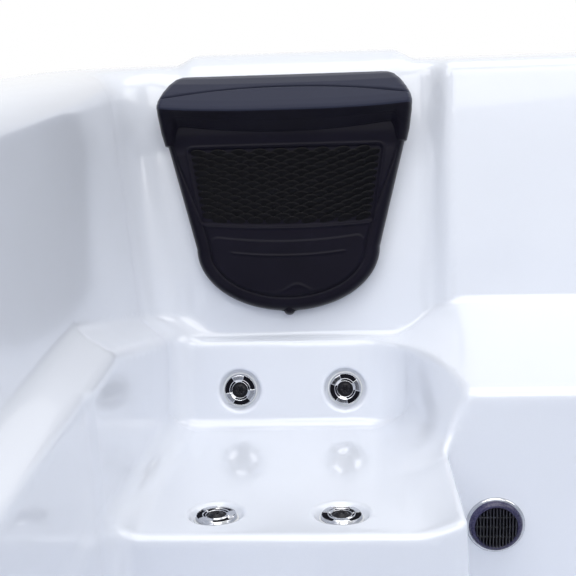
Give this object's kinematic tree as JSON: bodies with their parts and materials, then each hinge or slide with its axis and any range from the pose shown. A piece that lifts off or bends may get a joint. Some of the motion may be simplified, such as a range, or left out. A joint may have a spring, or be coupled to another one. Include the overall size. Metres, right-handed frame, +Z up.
{
  "type": "hot tub",
  "caption": "Square hot tub with moulded corner bucket seats, headrest pillows, adjustable chrome jets, footwell, rim filter and panelled cabinet.",
  "frame": {"origin": "middle of the base, on the ground", "axes": "+X to the right when facing the back pair of seats, +Y to the back, +Z up"},
  "size_m": [2, 2, 0.92],
  "materials": {
    "acrylic": "glossy white moulded acrylic",
    "pillow_foam": "satin black-violet moulded EVA foam with a scale relief",
    "jet_chrome": "polished chrome face with dark slots",
    "nozzle_black": "black swivel nozzle",
    "fitting_white": "plain moulded white",
    "gasket_rubber": "black rubber",
    "pump_black": "moulded black",
    "motor_grey": "painted finned casing",
    "heater_steel": "brushed tube",
    "box_grey": "powder coat",
    "pipe_white": "plain white pipe",
    "trim_grey": "satin dark grey trim",
    "filter_cloth": "pleated white filter cloth",
    "keypad_black": "black bezel with blank display",
    "button_grey": "grey buttons",
    "grille_black": "black slotted dome in an indigo ring",
    "lens_clear": "clear ribbed lens",
    "panel": "charcoal grained panel with grooves",
    "corner_trim": "charcoal corner cover",
    "base_plastic": "moulded black",
    "timber": "sawn softwood",
    "screw_steel": "stainless pan-head"
  },
  "bodies": {
    "tub": {"shell": "acrylic", "base_pan": "base_plastic", "frame_posts": "timber", "top_rails": "timber", "floor_bearers": "timber", "side_panel_left": "panel", "side_panel_right": "panel", "back_panel": "panel", "corner_covers": "corner_trim", "cabinet_screws": "screw_steel", "jet_bodies": "fitting_white", "jet_nuts": "fitting_white", "jet_gaskets": "gasket_rubber", "pump_wet_end": "pump_black", "pump_motor": "motor_grey", "heater": "heater_steel", "control_box": "box_grey", "pipework": "pipe_white", "filter_collar": "trim_grey", "filter_cartridge": "filter_cloth", "keypad": "keypad_black", "suction_covers": "grille_black", "light_lens": "lens_clear", "pillow_back_left": "pillow_foam", "pillow_back_right": "pillow_foam", "pillow_front_left": "pillow_foam", "pillow_front_right": "pillow_foam"},
    "jet_face_back_left_1": {"jet_face_back_left_1": "jet_chrome"},
    "jet_nozzle_back_left_1": {"jet_nozzle_back_left_1": "nozzle_black"},
    "jet_face_back_left_2": {"jet_face_back_left_2": "jet_chrome"},
    "jet_nozzle_back_left_2": {"jet_nozzle_back_left_2": "nozzle_black"},
    "jet_face_back_left_3": {"jet_face_back_left_3": "jet_chrome"},
    "jet_nozzle_back_left_3": {"jet_nozzle_back_left_3": "nozzle_black"},
    "jet_face_back_left_4": {"jet_face_back_left_4": "jet_chrome"},
    "jet_nozzle_back_left_4": {"jet_nozzle_back_left_4": "nozzle_black"},
    "jet_face_back_right_1": {"jet_face_back_right_1": "jet_chrome"},
    "jet_nozzle_back_right_1": {"jet_nozzle_back_right_1": "nozzle_black"},
    "jet_face_back_right_2": {"jet_face_back_right_2": "jet_chrome"},
    "jet_nozzle_back_right_2": {"jet_nozzle_back_right_2": "nozzle_black"},
    "jet_face_back_right_3": {"jet_face_back_right_3": "jet_chrome"},
    "jet_nozzle_back_right_3": {"jet_nozzle_back_right_3": "nozzle_black"},
    "jet_face_back_right_4": {"jet_face_back_right_4": "jet_chrome"},
    "jet_nozzle_back_right_4": {"jet_nozzle_back_right_4": "nozzle_black"},
    "jet_face_front_left_1": {"jet_face_front_left_1": "jet_chrome"},
    "jet_nozzle_front_left_1": {"jet_nozzle_front_left_1": "nozzle_black"},
    "jet_face_front_left_2": {"jet_face_front_left_2": "jet_chrome"},
    "jet_nozzle_front_left_2": {"jet_nozzle_front_left_2": "nozzle_black"},
    "jet_face_front_right_1": {"jet_face_front_right_1": "jet_chrome"},
    "jet_nozzle_front_right_1": {"jet_nozzle_front_right_1": "nozzle_black"},
    "jet_face_front_right_2": {"jet_face_front_right_2": "jet_chrome"},
    "jet_nozzle_front_right_2": {"jet_nozzle_front_right_2": "nozzle_black"},
    "access_panel": {"access_panel": "panel"},
    "filter_lid": {"filter_lid": "trim_grey"},
    "weir_flap": {"weir_flap": "trim_grey"},
    "button_cooler": {"button_cooler": "button_grey"},
    "button_warmer": {"button_warmer": "button_grey"},
    "button_jets": {"button_jets": "button_grey"},
    "air_knob": {"air_knob": "trim_grey"},
    "diverter_handle": {"diverter_handle": "trim_grey"},
    "drain_cap": {"drain_cap": "base_plastic"}
  },
  "joints": [
    {"name": "jet_face_back_left_1_turn", "type": "hinge", "parent": "tub", "child": "jet_face_back_left_1", "pos_m": [-0.6775, 0.76207, 0.41345], "axis": [0, -0.9659, 0.2589], "range_deg": [0, 90]},
    {"name": "jet_nozzle_back_left_1_tilt", "type": "hinge", "parent": "jet_face_back_left_1", "child": "jet_nozzle_back_left_1", "pos_m": [-0.6775, 0.76207, 0.41345], "axis": [1, 0, 0], "range_deg": [-10, 10]},
    {"name": "jet_face_back_left_2_turn", "type": "hinge", "parent": "tub", "child": "jet_face_back_left_2", "pos_m": [-0.5125, 0.76207, 0.41345], "axis": [0, -0.9659, 0.2589], "range_deg": [0, 90]},
    {"name": "jet_nozzle_back_left_2_tilt", "type": "hinge", "parent": "jet_face_back_left_2", "child": "jet_nozzle_back_left_2", "pos_m": [-0.5125, 0.76207, 0.41345], "axis": [1, 0, 0], "range_deg": [-10, 10]},
    {"name": "jet_face_back_left_3_turn", "type": "hinge", "parent": "tub", "child": "jet_face_back_left_3", "pos_m": [-0.67, 0.4032, 0.39755], "axis": [0, 0.1338, 0.991], "range_deg": [0, 90]},
    {"name": "jet_nozzle_back_left_3_tilt", "type": "hinge", "parent": "jet_face_back_left_3", "child": "jet_nozzle_back_left_3", "pos_m": [-0.67, 0.4032, 0.39755], "axis": [1, 0, 0], "range_deg": [-10, 10]},
    {"name": "jet_face_back_left_4_turn", "type": "hinge", "parent": "tub", "child": "jet_face_back_left_4", "pos_m": [-0.52, 0.4032, 0.39755], "axis": [0, 0.1338, 0.991], "range_deg": [0, 90]},
    {"name": "jet_nozzle_back_left_4_tilt", "type": "hinge", "parent": "jet_face_back_left_4", "child": "jet_nozzle_back_left_4", "pos_m": [-0.52, 0.4032, 0.39755], "axis": [1, 0, 0], "range_deg": [-10, 10]},
    {"name": "jet_face_back_right_1_turn", "type": "hinge", "parent": "tub", "child": "jet_face_back_right_1", "pos_m": [0.6775, 0.76207, 0.41345], "axis": [0, -0.9659, 0.2589], "range_deg": [0, 90]},
    {"name": "jet_nozzle_back_right_1_tilt", "type": "hinge", "parent": "jet_face_back_right_1", "child": "jet_nozzle_back_right_1", "pos_m": [0.6775, 0.76207, 0.41345], "axis": [1, 0, 0], "range_deg": [-10, 10]},
    {"name": "jet_face_back_right_2_turn", "type": "hinge", "parent": "tub", "child": "jet_face_back_right_2", "pos_m": [0.5125, 0.76207, 0.41345], "axis": [0, -0.9659, 0.2589], "range_deg": [0, 90]},
    {"name": "jet_nozzle_back_right_2_tilt", "type": "hinge", "parent": "jet_face_back_right_2", "child": "jet_nozzle_back_right_2", "pos_m": [0.5125, 0.76207, 0.41345], "axis": [1, 0, 0], "range_deg": [-10, 10]},
    {"name": "jet_face_back_right_3_turn", "type": "hinge", "parent": "tub", "child": "jet_face_back_right_3", "pos_m": [0.67, 0.4032, 0.39755], "axis": [0, 0.1338, 0.991], "range_deg": [0, 90]},
    {"name": "jet_nozzle_back_right_3_tilt", "type": "hinge", "parent": "jet_face_back_right_3", "child": "jet_nozzle_back_right_3", "pos_m": [0.67, 0.4032, 0.39755], "axis": [1, 0, 0], "range_deg": [-10, 10]},
    {"name": "jet_face_back_right_4_turn", "type": "hinge", "parent": "tub", "child": "jet_face_back_right_4", "pos_m": [0.52, 0.4032, 0.39755], "axis": [0, 0.1338, 0.991], "range_deg": [0, 90]},
    {"name": "jet_nozzle_back_right_4_tilt", "type": "hinge", "parent": "jet_face_back_right_4", "child": "jet_nozzle_back_right_4", "pos_m": [0.52, 0.4032, 0.39755], "axis": [1, 0, 0], "range_deg": [-10, 10]},
    {"name": "jet_face_front_left_1_turn", "type": "hinge", "parent": "tub", "child": "jet_face_front_left_1", "pos_m": [-0.6775, -0.76207, 0.41345], "axis": [0, 0.9659, 0.2589], "range_deg": [0, 90]},
    {"name": "jet_nozzle_front_left_1_tilt", "type": "hinge", "parent": "jet_face_front_left_1", "child": "jet_nozzle_front_left_1", "pos_m": [-0.6775, -0.76207, 0.41345], "axis": [-1, 0, 0], "range_deg": [-10, 10]},
    {"name": "jet_face_front_left_2_turn", "type": "hinge", "parent": "tub", "child": "jet_face_front_left_2", "pos_m": [-0.5125, -0.76207, 0.41345], "axis": [0, 0.9659, 0.2589], "range_deg": [0, 90]},
    {"name": "jet_nozzle_front_left_2_tilt", "type": "hinge", "parent": "jet_face_front_left_2", "child": "jet_nozzle_front_left_2", "pos_m": [-0.5125, -0.76207, 0.41345], "axis": [-1, 0, 0], "range_deg": [-10, 10]},
    {"name": "jet_face_front_right_1_turn", "type": "hinge", "parent": "tub", "child": "jet_face_front_right_1", "pos_m": [0.6775, -0.76207, 0.41345], "axis": [0, 0.9659, 0.2589], "range_deg": [0, 90]},
    {"name": "jet_nozzle_front_right_1_tilt", "type": "hinge", "parent": "jet_face_front_right_1", "child": "jet_nozzle_front_right_1", "pos_m": [0.6775, -0.76207, 0.41345], "axis": [-1, 0, 0], "range_deg": [-10, 10]},
    {"name": "jet_face_front_right_2_turn", "type": "hinge", "parent": "tub", "child": "jet_face_front_right_2", "pos_m": [0.5125, -0.76207, 0.41345], "axis": [0, 0.9659, 0.2589], "range_deg": [0, 90]},
    {"name": "jet_nozzle_front_right_2_tilt", "type": "hinge", "parent": "jet_face_front_right_2", "child": "jet_nozzle_front_right_2", "pos_m": [0.5125, -0.76207, 0.41345], "axis": [-1, 0, 0], "range_deg": [-10, 10]},
    {"name": "button_cooler_press", "type": "slide", "parent": "tub", "child": "button_cooler", "axis": [0, 0, -1], "range_m": [0, 0.0012], "stiffness_N_per_m": 300, "springref_m": -0.001},
    {"name": "button_warmer_press", "type": "slide", "parent": "tub", "child": "button_warmer", "axis": [0, 0, -1], "range_m": [0, 0.0012], "stiffness_N_per_m": 300, "springref_m": -0.001},
    {"name": "button_jets_press", "type": "slide", "parent": "tub", "child": "button_jets", "axis": [0, 0, -1], "range_m": [0, 0.0012], "stiffness_N_per_m": 300, "springref_m": -0.001},
    {"name": "air_knob_turn", "type": "hinge", "parent": "tub", "child": "air_knob", "pos_m": [-0.12, 0.895, 0.907], "axis": [0, 0, 1], "range_deg": [-90, 90]},
    {"name": "diverter_turn", "type": "hinge", "parent": "tub", "child": "diverter_handle", "pos_m": [0.12, 0.895, 0.907], "axis": [0, 0, 1], "range_deg": [-90, 90]},
    {"name": "weir_swing", "type": "hinge", "parent": "tub", "child": "weir_flap", "pos_m": [0, -0.722, 0.8], "axis": [1, 0, 0], "range_deg": [0, 60]},
    {"name": "filter_lid_lift", "type": "slide", "parent": "tub", "child": "filter_lid", "axis": [0, 0, 1], "range_m": [0, 0.15]},
    {"name": "access_panel_pull", "type": "slide", "parent": "tub", "child": "access_panel", "axis": [0, -1, 0], "range_m": [0, 0.25]},
    {"name": "drain_cap_turn", "type": "hinge", "parent": "tub", "child": "drain_cap", "pos_m": [0.975, -0.7, 0.11], "axis": [1, 0, 0], "range_deg": [0, 180]}
  ]
}
